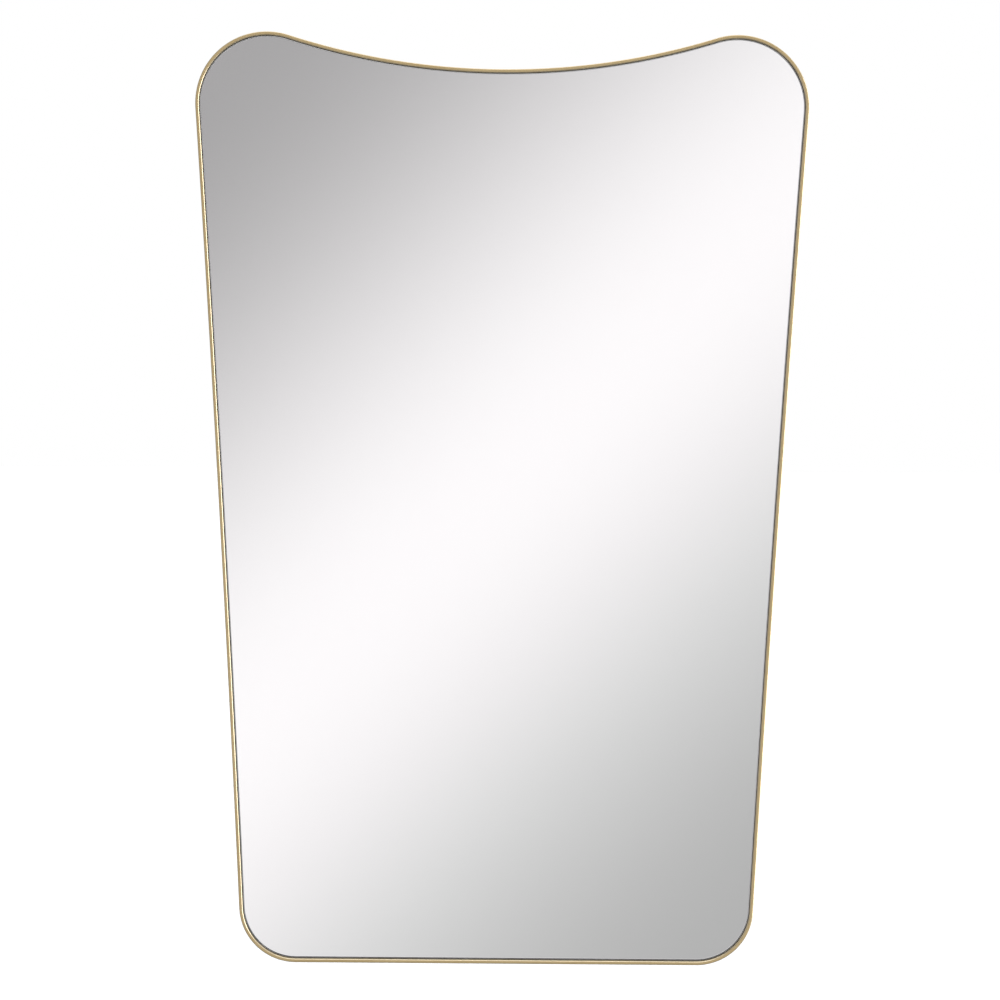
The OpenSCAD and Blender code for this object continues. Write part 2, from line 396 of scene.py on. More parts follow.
@dataclass(frozen=True)
class Outline:
    """The mirror's outline in the X-Z plane: arcs that run into each other."""

    height: float = 914 * MM
    top_w: float = 600 * MM
    bottom_w: float = 507 * MM
    top_r: float = 70 * MM
    bottom_r: float = 56 * MM
    top_dip: float = 35 * MM
    side_bow: float = 1.8 * MM
    z_top: float = 210 * MM
    bottom_steps: int = 8
    corner_steps: int = 40
    side_steps: int = 10
    shoulder_steps: int = 48
    dip_steps: int = 32

    @property
    def z_bottom(self) -> float:
        """Height of the flat bottom edge."""
        return self.z_top - self.height

    @property
    def low(self) -> Vector:
        """Centre of the right bottom corner, as (x, z)."""
        return Vector((self.bottom_w / 2 - self.bottom_r, self.z_bottom + self.bottom_r))

    @property
    def high(self) -> Vector:
        """Centre of the right shoulder, as (x, z)."""
        return Vector((self.top_w / 2 - self.top_r, self.z_top - self.top_r))

    @property
    def dip_r(self) -> float:
        """Radius of the dipping top edge."""
        rise = self.top_r - self.top_dip
        return (self.high.x**2 + rise**2 - self.top_r**2) / (2 * self.top_dip)

    @property
    def dip(self) -> Vector:
        """Centre of the dipping top edge, as (x, z)."""
        return Vector((0.0, self.z_top - self.top_dip + self.dip_r))

    @property
    def side_r(self) -> float:
        """Radius of a long side."""
        span = (self.high - self.low).length_squared
        return (span - (self.top_r - self.bottom_r) ** 2) / (8 * self.side_bow)

    @property
    def side(self) -> Vector:
        """Centre of the right long side, far out to the right.

        Returns:
            The centre, as (x, z).
        """
        span = self.high - self.low
        r_low, r_high = self.side_r + self.bottom_r, self.side_r + self.top_r
        along = (span.length_squared + r_low**2 - r_high**2) / (2 * span.length)
        across = math.sqrt(r_low**2 - along**2)
        return self.low + (along * span + across * Vector((span.y, -span.x))) / span.length

    @property
    def low_turn(self) -> float:
        """Heading at which the bottom corner runs into the side."""
        return heading(self.low, self.side)

    @property
    def high_turn(self) -> float:
        """Heading at which the side runs into the shoulder."""
        return heading(self.high, self.side)

    @property
    def dip_turn(self) -> float:
        """Heading at which the shoulder runs into the dip."""
        return heading(self.high, self.dip)

    @property
    def arcs(self) -> tuple[tuple[Vector, float, float, float, int], ...]:
        """The arcs from the bottom corner round to the dip's middle.

        Returns:
            Of each the centre, the radius, the first and last heading, and the steps.
        """
        return (
            (self.low, self.bottom_r, -90.0, self.low_turn, self.corner_steps),
            (self.side, self.side_r, 180 + self.low_turn, 180 + self.high_turn, self.side_steps),
            (self.high, self.top_r, self.high_turn, self.dip_turn, self.shoulder_steps),
            (self.dip, self.dip_r, 180 + self.dip_turn, 270.0, self.dip_steps),
        )

    def legs(self) -> list[Run | Turn]:
        """The legs of a sweep along the right half, from the bottom's middle to the dip's."""
        turns = [Turn((c.x, 0.0, c.y), end - start, steps) for c, _, start, end, steps in self.arcs]
        return [Run((self.low.x, 0.0, 0.0), self.bottom_steps), *turns]

    def measure(self, x: float, z: float) -> Plane:
        """Where a point near the edge lies along the outline.

        Args:
            x: The point's X.
            z: The point's Z.

        Returns:
            (length from the bottom's middle, depth inwards from the edge).
        """
        p, sign = Vector((abs(x), z)), math.copysign(1.0, x)
        length = self.low.x
        if p.x <= self.low.x and p.y < self.low.y:
            return sign * p.x, p.y - self.z_bottom
        best = (math.inf, 0.0, 0.0)
        for centre, radius, start, end, _ in self.arcs:
            angle = heading(centre, p)
            while angle < min(start, end) - 90:
                angle += 360
            share = (angle - start) / (end - start)
            whole = radius * math.radians(abs(end - start))
            inset = math.copysign(1.0, end - start) * (radius - (p - centre).length)
            off = abs(inset) + max(0.0, -share, share - 1) * whole
            if off < best[0]:
                best = (off, length + share * whole, inset)
            length += whole
        return sign * best[1], best[2]


class Graph:
    """A node tree with short calls to add and link its nodes."""

    def __init__(self, tree: bpy.types.NodeTree) -> None:
        """Starts on an emptied tree."""
        self.tree = tree
        tree.nodes.clear()

    @classmethod
    def of(cls, owner: bpy.types.Material | bpy.types.World) -> Self:
        """Starts on the tree of a material or world."""
        owner.use_nodes = True
        return cls(owner.node_tree)

    def put(self, node: bpy.types.Node, inputs: dict[str | int, object]) -> None:
        """Feeds a node's inputs.

        Args:
            node: The node.
            inputs: Values to set or sockets to link, by the input's name or number.
        """
        for key, value in inputs.items():
            if isinstance(value, Socket):
                self.tree.links.new(value, node.inputs[key])
            else:
                node.inputs[key].default_value = value

    def add(
        self, kind: str, inputs: dict[str | int, object] | None = None, **settings: object
    ) -> bpy.types.Node:
        """Adds one node.

        Args:
            kind: The node's type, such as ShaderNodeMath.
            inputs: Values or sockets for its inputs, by name or number.
            **settings: Its properties.

        Returns:
            The node.
        """
        node = self.tree.nodes.new(kind)
        for name, value in settings.items():
            setattr(node, name, value)
        self.put(node, inputs or {})
        return node

    def math(self, operation: str, *values: Value) -> Socket:
        """A Math node's result."""
        return self.add("ShaderNodeMath", dict(enumerate(values)), operation=operation).outputs[0]

    def times(self, a: Value, b: Value) -> Socket:
        """The product of two values."""
        return self.math("MULTIPLY", a, b)

    def raised(self, value: Value, mask: Value, amount: float) -> Socket:
        """A value with an amount added where a mask is 1."""
        return self.math("ADD", value, self.times(mask, amount))

    def mean(self, a: Socket, b: Socket, share: float) -> Socket:
        """The mean of two values, where the first has a share of the whole."""
        return self.raised(self.times(a, share), b, 1.0 - share)

    def span(
        self,
        value: Value,
        low: float,
        high: float,
        to_low: float = 0.0,
        to_high: float = 1.0,
        smooth: bool = True,
    ) -> Socket:
        """Maps a value from one range to another, clamped at its ends.

        Args:
            value: The value.
            low: Start of its range.
            high: End of its range.
            to_low: What the start becomes.
            to_high: What the end becomes.
            smooth: Whether it eases in and out, or runs straight.

        Returns:
            The new value.
        """
        ends = {"From Min": low, "From Max": high, "To Min": to_low, "To Max": to_high}
        kind = "SMOOTHSTEP" if smooth else "LINEAR"
        node = self.add("ShaderNodeMapRange", {"Value": value, **ends}, interpolation_type=kind)
        return node.outputs["Result"]

    def blend(self, share: Value, a: Tint, b: Tint) -> Socket:
        """A colour between two, by a share from 0 to 1."""
        return self.add("ShaderNodeMix", {0: share, 6: a, 7: b}, data_type="RGBA").outputs[2]

    def tinged(self, tint: Tint, mask: Value, share: float, colour: Colour) -> Socket:
        """A tint that turns towards a colour, by a share where a mask is 1."""
        return self.blend(self.times(mask, share), tint, colour)

    def noise(
        self, vector: Socket, scale: float, detail: float = 3.0, roughness: float = 0.5
    ) -> Socket:
        """A noise value between 0 and 1.

        Args:
            vector: The coordinates that it reads.
            scale: How fine it is.
            detail: How many finer layers it has.
            roughness: How strong these are.

        Returns:
            The value.
        """
        given = {"Vector": vector, "Scale": scale, "Detail": detail, "Roughness": roughness}
        return self.add("ShaderNodeTexNoise", given).outputs["Fac"]

    def cells(self, vector: Socket, scale: float) -> Socket:
        """The distance to the middle of the nearest of many cells."""
        given = {"Vector": vector, "Scale": scale}
        return self.add("ShaderNodeTexVoronoi", given).outputs["Distance"]

    def stretch(self, vector: Socket, scale: Point) -> Socket:
        """A vector scaled along its axes."""
        return self.add("ShaderNodeMapping", {"Vector": vector, "Scale": scale}).outputs["Vector"]

    def axes(self, vector: Socket) -> list[Socket]:
        """The X, Y and Z of a vector."""
        return list(self.add("ShaderNodeSeparateXYZ", {0: vector}).outputs)

    def coords(self) -> Socket:
        """The piece's own coordinates."""
        return self.add("ShaderNodeTexCoord").outputs["Object"]

    def along(self) -> Socket:
        """The coordinates along a bar and across it."""
        return self.add("ShaderNodeUVMap", uv_map=ALONG).outputs["UV"]

    def attribute(self, name: str, output: str = "Fac") -> Socket:
        """What a mesh carries under a name."""
        return self.add("ShaderNodeAttribute", attribute_name=name).outputs[output]


class Effect(Enum):
    """Node groups that more than one finish uses."""

    STREAKS = "metal_streaks"
    SPECKS = "dust_specks"
    CLOUDING = "soft_clouding"


class Effects:
    """Builds each shared node group once."""

    @staticmethod
    def _shell(
        effect: Effect, inputs: dict[str, float], outputs: Iterable[str] = ("Mask",)
    ) -> tuple[Graph, bpy.types.NodeOutputs, bpy.types.Node]:
        """Starts a group with a Vector input, number inputs and number outputs.

        Args:
            effect: Which group.
            inputs: The number inputs and their defaults.
            outputs: Names of the outputs.

        Returns:
            (the group's tree, the sockets of its inputs, the node that takes its outputs).
        """
        tree = bpy.data.node_groups.new(effect.value, "ShaderNodeTree")
        tree.interface.new_socket("Vector", in_out="INPUT", socket_type="NodeSocketVector")
        for name, value in inputs.items():
            made = tree.interface.new_socket(name, in_out="INPUT", socket_type="NodeSocketFloat")
            made.default_value = value
        for name in outputs:
            tree.interface.new_socket(name, in_out="OUTPUT", socket_type="NodeSocketFloat")
        graph = Graph(tree)
        return graph, graph.add("NodeGroupInput").outputs, graph.add("NodeGroupOutput")

    @staticmethod
    def streaks() -> None:
        """Fine lines that run along the vector's X, with a slow change of depth."""
        numbers = {"Fine": 1.0, "Depth": 1.0}
        graph, given, result = Effects._shell(Effect.STREAKS, numbers, ("Mask", "Height"))
        scaled = {0: given["Vector"], "Scale": given["Fine"]}
        lines = graph.add("ShaderNodeVectorMath", scaled, operation="SCALE").outputs[0]
        fine = graph.noise(graph.stretch(lines, (60.0, 9000.0, 9000.0)), 1.0, 4.0, 0.65)
        broad = graph.noise(graph.stretch(lines, (25.0, 2200.0, 2200.0)), 1.0)
        both = graph.mean(fine, broad, 0.75)
        height = graph.times(both, given["Depth"])
        graph.put(result, {"Mask": graph.span(both, 0.38, 0.66), "Height": height})

    @staticmethod
    def specks() -> None:
        """Sparse small specks of dust and a thin haze between them."""
        graph, given, result = Effects._shell(Effect.SPECKS, {"Amount": 0.5})
        dots = graph.span(graph.cells(given["Vector"], 420.0), 0.06, 0.16, 1.0, 0.0)
        patch = graph.span(graph.noise(given["Vector"], 14.0, 4.0), 0.5, 0.75)
        haze = graph.times(graph.noise(given["Vector"], 60.0, 6.0, 0.6), 0.35)
        both = graph.math("MAXIMUM", graph.times(dots, patch), graph.times(haze, patch))
        graph.put(result, {"Mask": graph.times(both, given["Amount"])})

    @staticmethod
    def clouding() -> None:
        """Broad soft patches, as handling and age leave on a finish."""
        graph, given, result = Effects._shell(Effect.CLOUDING, {"Contrast": 1.0})
        broad = graph.noise(given["Vector"], 9.0, 5.0, 0.55)
        small = graph.noise(given["Vector"], 48.0)
        eased = graph.span(graph.mean(broad, small, 0.7), 0.35, 0.65)
        graph.put(result, {"Mask": graph.times(eased, given["Contrast"])})

    @staticmethod
    def build() -> None:
        """Makes all the groups."""
        Effects.streaks()
        Effects.specks()
        Effects.clouding()

    @staticmethod
    def place(graph: Graph, effect: Effect, vector: Socket, **values: float) -> list[Socket]:
        """Puts a group into a material.

        Args:
            graph: The material's tree.
            effect: Which group.
            vector: The coordinates that it reads.
            **values: Its number inputs, by name.

        Returns:
            The group's mask and, where it has one, its height.
        """
        tree = bpy.data.node_groups[effect.value]
        node = graph.add("ShaderNodeGroup", {"Vector": vector, **values}, node_tree=tree)
        return list(node.outputs)

    @staticmethod
    def clouds(graph: Graph, vector: Socket, contrast: float) -> Socket:
        """The mask of soft clouding."""
        return Effects.place(graph, Effect.CLOUDING, vector, Contrast=contrast)[0]

    @staticmethod
    def dust(graph: Graph, vector: Socket, amount: float) -> Socket:
        """The mask of dust."""
        return Effects.place(graph, Effect.SPECKS, vector, Amount=amount)[0]


class Coat(Graph):
    """A material's tree, round its shader."""

    def __init__(self, tree: bpy.types.NodeTree) -> None:
        """Starts with the shader and the output.

        Args:
            tree: The material's tree, which is emptied.
        """
        super().__init__(tree)
        self.shader = self.add("ShaderNodeBsdfPrincipled")
        self.add("ShaderNodeOutputMaterial", {"Surface": self.shader.outputs[0]})

    def feed(self, inputs: dict[str, object]) -> None:
        """Feeds the shader's inputs with values or sockets."""
        self.put(self.shader, inputs)

    def bump(self, height: Socket, distance: float) -> None:
        """Feeds the shader's normal with a height, 1 being as high as the distance."""
        inputs = {"Height": height, "Distance": distance, "Strength": 1.0}
        self.feed({"Normal": self.add("ShaderNodeBump", inputs).outputs["Normal"]})


@dataclass(frozen=True)
class Finish:
    """A named surface finish."""

    name: str
    base: Colour
    roughness: float

    def material(self) -> bpy.types.Material:
        """Builds the finish.

        Returns:
            The material.
        """
        made = bpy.data.materials.new(self.name)
        graph = Coat.of(made)
        graph.feed({"Base Color": self.base, "Roughness": self.roughness})
        self.dress(graph)
        return made

    def dress(self, graph: Coat) -> None:
        """Feeds the shader with what makes this finish its own."""


@dataclass(frozen=True)
class BrushedMetal(Finish):
    """Plated or solid metal with fine lines along its length, and slight tarnish."""

    deep: Colour
    streak_fine: float = 1.0
    streak_depth: float = 0.004 * MM
    streak_share: float = 0.2
    tarnish: float = 0.5
    lacquer: float = 0.0
    by_length: bool = False
    brazed: bool = False
    # pale cream painted onto a bar's arrises as a highlight
    bright: Colour = (0.95, 0.85, 0.66, 1.0)
    dull: Colour = (0.46, 0.38, 0.22, 1.0)
    seam: Colour = (0.62, 0.40, 0.20, 1.0)
    burnt: Colour = (0.30, 0.15, 0.08, 1.0)

    def _along_bar(self, graph: Coat, tint: Socket, rough: Socket) -> tuple[Socket, Socket]:
        """Polishes the arrises of a bar and lightens their colour as a painted highlight, dulls its
        inner wall and shows its brazed joint.

        Args:
            graph: The material's tree, whose shader loses metal and lacquer on that wall.
            tint: The colour so far.
            rough: The roughness so far.

        Returns:
            (colour, roughness).
        """
        inside = graph.attribute("inside")
        tint = graph.blend(inside, tint, self.dull)
        rough = graph.raised(rough, inside, 0.35)
        metal = graph.span(inside, 0.0, 1.0, 1.0, 0.15, smooth=False)
        lacquer = graph.span(inside, 0.0, 1.0, self.lacquer, 0.0, smooth=False)
        graph.feed({"Metallic": metal, "Coat Weight": lacquer})
        arris = graph.attribute("arris")
        length, across, _ = graph.axes(graph.along())
        near = graph.span(graph.math("ABSOLUTE", length), 0.12 * MM, 0.4 * MM, 1.0, 0.0)
        joint = graph.times(near, graph.math("LESS_THAN", across, 0.0))
        # painted highlight: the arrises' colour turns towards a pale cream; their lower roughness
        # below is real polish
        tint = graph.tinged(tint, arris, 0.6, self.bright)
        tint = graph.tinged(tint, joint, 0.7, self.seam)
        rough = graph.raised(rough, arris, -0.07)
        return tint, graph.raised(rough, joint, 0.15)

    def _heat_tint(self, graph: Coat, tint: Socket, rough: Socket) -> tuple[Socket, Socket]:
        """Browns the metal unevenly towards its brazed foot.

        Args:
            graph: The material's tree.
            tint: The colour so far.
            rough: The roughness so far.

        Returns:
            (colour, roughness).
        """
        reach = graph.axes(graph.attribute("own", "Vector"))[0]
        drift = graph.times(graph.noise(graph.coords(), 420.0), 3 * MM)
        heat = graph.span(graph.math("SUBTRACT", reach, drift), -0.5 * MM, 4.5 * MM, 1.0, 0.0)
        return graph.tinged(tint, heat, 0.8, self.burnt), graph.raised(rough, heat, 0.15)

    def dress(self, graph: Coat) -> None:
        """Lines, tarnish and dust; on a bar its joint and a painted highlight on its arrises, on a
        lug its heat.

        Args:
            graph: The material's tree.
        """
        graph.feed({"Metallic": 1.0, "Coat Weight": self.lacquer, "Coat Roughness": 0.12})
        place = graph.coords()
        lines = graph.along() if self.by_length else place
        fine = {"Fine": self.streak_fine, "Depth": 1.0}
        streaks, height = Effects.place(graph, Effect.STREAKS, lines, **fine)
        clouds = Effects.clouds(graph, place, self.tarnish)
        dust = Effects.dust(graph, place, 0.35)
        share = graph.raised(graph.times(clouds, 0.8), streaks, self.streak_share)
        tint = graph.blend(share, self.base, self.deep)
        rough = graph.raised(self.roughness - 0.04, streaks, 0.10)
        rough = graph.raised(rough, clouds, 0.06)
        rough = graph.raised(rough, dust, 0.25)
        if self.by_length:
            tint, rough = self._along_bar(graph, tint, rough)
        if self.brazed:
            tint, rough = self._heat_tint(graph, tint, rough)
        graph.feed({"Base Color": tint, "Roughness": rough})
        graph.bump(height, self.streak_depth)


@dataclass(frozen=True)
class ClearGlass(Finish):
    """Float glass with a faint haze."""

    ior: float = 1.52

    def dress(self, graph: Coat) -> None:
        """Lets light through, with a trace of dust."""
        haze = Effects.dust(graph, graph.coords(), 0.012)
        graph.feed({"Transmission Weight": 1.0, "IOR": self.ior, "Roughness": haze})


@dataclass(frozen=True)
class Silvering(Finish):
    """The metal layer behind the glass, with faint clouds."""

    deep: Colour = (0.945, 0.942, 0.944, 1.0)

    def dress(self, graph: Coat) -> None:
        """Bare metal between two silvers."""
        tint = graph.blend(Effects.clouds(graph, graph.coords(), 0.25), self.base, self.deep)
        graph.feed({"Metallic": 1.0, "Base Color": tint})


@dataclass(frozen=True)
class EdgePaint(Finish):
    """Dark sealing paint, brushed on a little thin in places."""

    thin: Colour = (0.030, 0.032, 0.031, 1.0)

    def dress(self, graph: Coat) -> None:
        """Brush marks in colour, roughness and height.

        Args:
            graph: The material's tree.
        """
        brushed = graph.noise(graph.coords(), 350.0, 4.0, 0.6)
        tint = graph.blend(graph.span(brushed, 0.45, 0.7), self.base, self.thin)
        rough = graph.raised(self.roughness - 0.1, brushed, 0.2)
        graph.feed({"Base Color": tint, "Roughness": rough})
        graph.bump(brushed, 0.05 * MM)


@dataclass(frozen=True)
class Fibreboard(Finish):
    """Pressed fibres under thin paint, which lets their brown through where it is rubbed."""

    fibre: Colour = (0.030, 0.028, 0.026, 1.0)
    bare: Colour = (0.20, 0.13, 0.075, 1.0)
    dust: Colour = (0.32, 0.30, 0.27, 1.0)
    rub: float = 0.0

    def dress(self, graph: Coat) -> None:
        """Fibres, flecks, clouds and dust, and wear where the paint is rubbed.

        Args:
            graph: The material's tree.
        """
        place = graph.coords()
        fibre = graph.noise(graph.stretch(place, (900.0, 1400.0, 1300.0)), 1.0, 6.0, 0.62)
        fleck = graph.noise(graph.stretch(place, (1400.0, 1400.0, 700.0)), 1.0, 4.0, 0.6)
        clouds = Effects.clouds(graph, place, 1.0)
        dust = Effects.dust(graph, place, 1.0)
        worn = graph.noise(place, 240.0, 5.0, 0.65)
        bared = graph.span(worn, 0.62 - 0.3 * self.rub, 0.72 - 0.2 * self.rub)
        paint = graph.blend(graph.span(fibre, 0.42, 0.66), self.base, self.fibre)
        paint = graph.tinged(paint, clouds, 0.4, self.fibre)
        paint = graph.tinged(paint, dust, 0.22, self.dust)
        paint = graph.tinged(paint, bared, self.rub, self.bare)
        rough = graph.raised(self.roughness - 0.2, fleck, 0.4)
        rough = graph.raised(rough, clouds, 0.12)
        graph.feed({"Base Color": paint, "Roughness": rough})
        graph.bump(graph.raised(fibre, fleck, 0.6), 0.25 * MM)


@dataclass(frozen=True)
class Foam(Finish):
    """Closed-cell foam tape, cut across its cells at the edges."""

    # tone of the clouds, and of the painted shade in the middles of the cells
    deep: Colour = (0.55, 0.53, 0.48, 1.0)

    def dress(self, graph: Coat) -> None:
        """Cells with painted shade in their sunken middles, and clouds.

        Args:
            graph: The material's tree.
        """
        place = graph.coords()
        cells = graph.cells(place, 3800.0)
        clouds = Effects.clouds(graph, place, 0.6)
        # painted shade: each cell darkens towards its middle, where the bump sinks it
        tint = graph.tinged(self.base, graph.span(cells, 0.2, 0.7, 1.0, 0.0), 0.5, self.deep)
        graph.feed({"Base Color": graph.tinged(tint, clouds, 0.3, self.deep)})
        graph.bump(cells, 0.08 * MM)


@dataclass(frozen=True)
class Rubber(Finish):
    """Moulded rubber: fine pores, a greyish bloom and dust."""

    bloom: Colour = (0.11, 0.11, 0.112, 1.0)
    dust: Colour = (0.35, 0.33, 0.3, 1.0)

    def dress(self, graph: Coat) -> None:
        """Pores, bloom and dust.

        Args:
            graph: The material's tree.
        """
        place = graph.coords()
        pores = graph.noise(place, 2600.0, 4.0, 0.6)
        clouds = Effects.clouds(graph, graph.stretch(place, (6.0, 6.0, 6.0)), 0.8)
        dust = Effects.dust(graph, graph.stretch(place, (2.0, 2.0, 2.0)), 1.0)
        tint = graph.tinged(self.base, clouds, 0.35, self.bloom)
        tint = graph.tinged(tint, dust, 0.3, self.dust)
        rough = graph.raised(self.roughness - 0.12, pores, 0.25)
        graph.feed({"Base Color": tint, "Roughness": rough})
        graph.bump(pores, 0.07 * MM)


BRASS = BrushedMetal(
    "satin_brass", (0.79, 0.61, 0.33, 1.0), 0.27, (0.67, 0.49, 0.23, 1.0),
    streak_depth=0.006 * MM, streak_share=0.35, tarnish=0.6, lacquer=0.5, by_length=True,
)
LUG_BRASS = BrushedMetal(
    "lug_brass", (0.66, 0.50, 0.26, 1.0), 0.36, (0.56, 0.40, 0.19, 1.0),
    streak_fine=0.8, tarnish=1.0, brazed=True,
)
ZINC = BrushedMetal(
    "zinc_plate", (0.60, 0.61, 0.63, 1.0), 0.33, (0.46, 0.46, 0.47, 1.0), streak_fine=0.8
)
NICKEL = BrushedMetal(
    "nickel_sheet", (0.66, 0.64, 0.61, 1.0), 0.28, (0.52, 0.50, 0.47, 1.0), streak_fine=0.5
)
WIRE = BrushedMetal(
    "nickel_wire", (0.70, 0.69, 0.67, 1.0), 0.18, (0.58, 0.56, 0.54, 1.0), streak_fine=0.6
)
GLASS = ClearGlass("clear_glass", (0.992, 0.994, 0.992, 1.0), 0.0)
SILVER = Silvering("silvering", (0.955, 0.955, 0.955, 1.0), 0.0)
SEAL = EdgePaint("edge_seal", (0.012, 0.013, 0.012, 1.0), 0.6)
BOARD = Fibreboard("black_fibreboard", (0.012, 0.0115, 0.011, 1.0), 0.62)
BOARD_EDGE = Fibreboard("fibreboard_edge", (0.020, 0.017, 0.015, 1.0), 0.72, rub=0.85)
FOAM = Foam("foam_tape", (0.76, 0.74, 0.69, 1.0), 0.85)
RUBBER = Rubber("moulded_rubber", (0.042, 0.042, 0.044, 1.0), 0.62)


@dataclass
class FrameBand:
    """The flat bar bent into the outline, with its arrises eased and UVs along it."""

    outline: Outline
    thickness: float = 3.5 * MM
    back: float = 5 * MM
    front: float = 26.5 * MM
    outer_round: float = 0.7 * MM
    inner_round: float = 0.9 * MM
    rear_round: float = 0.3 * MM
    skin: float = 0.05 * MM
    level: float = 0.7  # from this much of Y in its normal, a face lies in the front or back
    arris: Plane = (0.02, 0.98)  # between these it belongs to an eased arris
    apart: float = 0.1  # added to V on the front and back, away from the walls' V

    def section(self) -> Piece:
        """The bar's cross-section at the bottom's middle, without its face.

        Returns:
            The object, in edit mode.
        """
        depth = self.front - self.back
        middle = self.outline.z_bottom + self.skin + self.thickness / 2
        place = (0.0, -(self.front + self.back) / 2, middle)
        band = Bench.make("brass_band", Shape.SQUARE, place, SIDEWAYS, size=self.thickness)
        Bench.edit(band)
        bpy.ops.transform.resize(value=(1.0, depth / self.thickness, 1.0))
        for radius, test in (
            (self.outer_round, lambda co: co.y < -self.front + MM and co.z < middle),
            (self.inner_round, lambda co: co.y < -self.front + CLOSE and co.z > middle),
            (self.rear_round, lambda co: co.y > -self.back - CLOSE),
        ):
            Bench.pick(band, Pick.VERTS, test)
            bpy.ops.mesh.bevel(offset=radius, segments=5, affect="VERTICES")
        bpy.ops.mesh.select_all(action="SELECT")
        bpy.ops.mesh.delete(type="ONLY_FACE")
        bpy.ops.mesh.select_all(action="SELECT")
        return band

    def unwrap(self, band: Piece) -> None:
        """Lays UVs in metres, U along the bar and V across it, and marks arrises and inner wall.

        Args:
            band: The band.
        """
        mesh = band.data
        while mesh.uv_layers:
            mesh.uv_layers.remove(mesh.uv_layers[0])
        mesh.uv_layers.new(name=ALONG)
        for name in ("arris", "inside"):
            mesh.attributes.new(name, "FLOAT", "CORNER")
        layer, marks = mesh.uv_layers[ALONG], mesh.attributes
        low, high = self.arris
        for face in mesh.polygons:
            flat = abs(face.normal.y) > self.level
            turned = low < abs(face.normal.y) < high
            for loop in face.loop_indices:
                co = mesh.vertices[mesh.loops[loop].vertex_index].co
                length, depth = self.outline.measure(co.x, co.z)
                inside = not flat and not turned and depth > self.thickness / 2
                marks["arris"].data[loop].value = float(turned)
                marks["inside"].data[loop].value = float(inside)
                layer.data[loop].uv = (length, depth + self.apart if flat else co.y)

    def build(self) -> None:
        """Models the band and dresses it."""
        band = self.section()
        Bench.sweep(self.outline.legs())
        Bench.mirror(band)
        Bench.tidy(band, angle=30.0)
        self.unwrap(band)
        Bench.paint(band, BRASS.material())
        Bench.finish(band, "frame_band", "brass_band")


@dataclass
class MirrorGlass:
    """The glass slab with eased arrises, silvered on its back and sealed round its rim."""

    outline: Outline
    inset: float = 4.3 * MM
    back: float = 18.53 * MM
    thickness: float = 3.97 * MM
    front_round: float = 0.5 * MM
    back_round: float = 0.3 * MM
    seal_w: float = 0.25 * MM
    seal_from: float = -0.2  # faces whose normals have more of Y than this are painted

    def build(self) -> None:
        """Models the slab and dresses it."""
        edge = self.outline.z_bottom + self.inset
        front = self.back + self.thickness
        place = (0.0, -(self.back + front) / 2, edge + self.thickness / 2)
        glass = Bench.make("silvered_glass", Shape.SQUARE, place, SIDEWAYS, size=self.thickness)
        Bench.edit(glass)
        low = edge + self.thickness / 4
        for radius, test in (
            (self.front_round, lambda co: co.z < low and co.y < -front + MM),
            (self.back_round, lambda co: co.z < low and co.y > -self.back - MM),
        ):
            Bench.pick(glass, Pick.VERTS, test)
            bpy.ops.mesh.bevel(offset=radius, segments=4, affect="VERTICES")
        Bench.pick(glass, Pick.EDGES, lambda co, _: co.z > edge + self.thickness - CLOSE)
        bpy.ops.mesh.delete(type="EDGE")
        bpy.ops.mesh.select_all(action="SELECT")
        Bench.sweep(self.outline.legs())
        Bench.mirror(glass)
        Bench.edit(glass)
        for y in (-front, -self.back):
            Bench.pick(glass, Pick.EDGES, lambda co, rim: rim and abs(co.y - y) < CLOSE)
            bpy.ops.mesh.edge_face_add()
        Bench.tidy(glass)
        Bench.edit(glass)
        Bench.pick(glass, Pick.FACES, lambda _, n: n.y > FLAT)
        bpy.ops.mesh.dissolve_faces()
        bpy.ops.mesh.inset(thickness=self.seal_w)
        Bench.done()
        self._dress(glass)
        Bench.finish(glass, "mirror_glass", "silvered_glass")

    def _dress(self, glass: Piece) -> None:
        """Clear front, silvered back and dark sealed rim; both flats stay flat.

        Args:
            glass: The slab.
        """
        Bench.paint(glass, GLASS.material(), SILVER.material(), SEAL.material())
        silver, seal = 1, 2
        for face in glass.data.polygons:
            face.use_smooth = abs(face.normal.y) < FLAT
            if face.normal.y > self.seal_from:
                face.material_index = silver if face.area > self.outline.bottom_w**2 else seal


@dataclass
class BackingBoard:
    """The fibreboard, with its edges and hole rims eased."""

    nodes: dict[str, Piece]
    ease: float = 0.4 * MM

    def build(self) -> None:
        """Models the board from its node and dresses it."""
        board = Bench.merged_node(self.nodes["backing_board"], "black_board")
        Bench.ease(board, self.ease, 2, 40)
        Bench.take(board)
        bpy.ops.object.shade_smooth_by_angle(angle=math.radians(30))
        Bench.paint(board, BOARD.material(), BOARD_EDGE.material())
        for face in board.data.polygons:
            rim = abs(face.normal.y) <= FLAT
            face.use_smooth = rim
            face.material_index = int(rim)
        Bench.finish(board, "backing_board", "black_board")


@dataclass
class MountingTapes:
    """The foam strips between glass and board, which keep their CAD shape."""

    nodes: dict[str, Piece]
    count: int = 5

    def build(self) -> None:
        """Dresses the strips."""
        foam = FOAM.material()
        for i in range(1, self.count + 1):
            node = self.nodes[f"mounting_tape_{i}"]
            Bench.paint(node, foam)
            LOG.info("%s dressed", node.name)


@dataclass(frozen=True)
class Place:
    """A lug's place: a point on the band's inner wall and the inward heading."""

    x: float
    z: float
    inward: float

    @property
    def matrix(self) -> Matrix:
        """The turn and move from the lug's own frame."""
        return Matrix.Translation((self.x, 0.0, self.z)) @ spun(-self.inward)


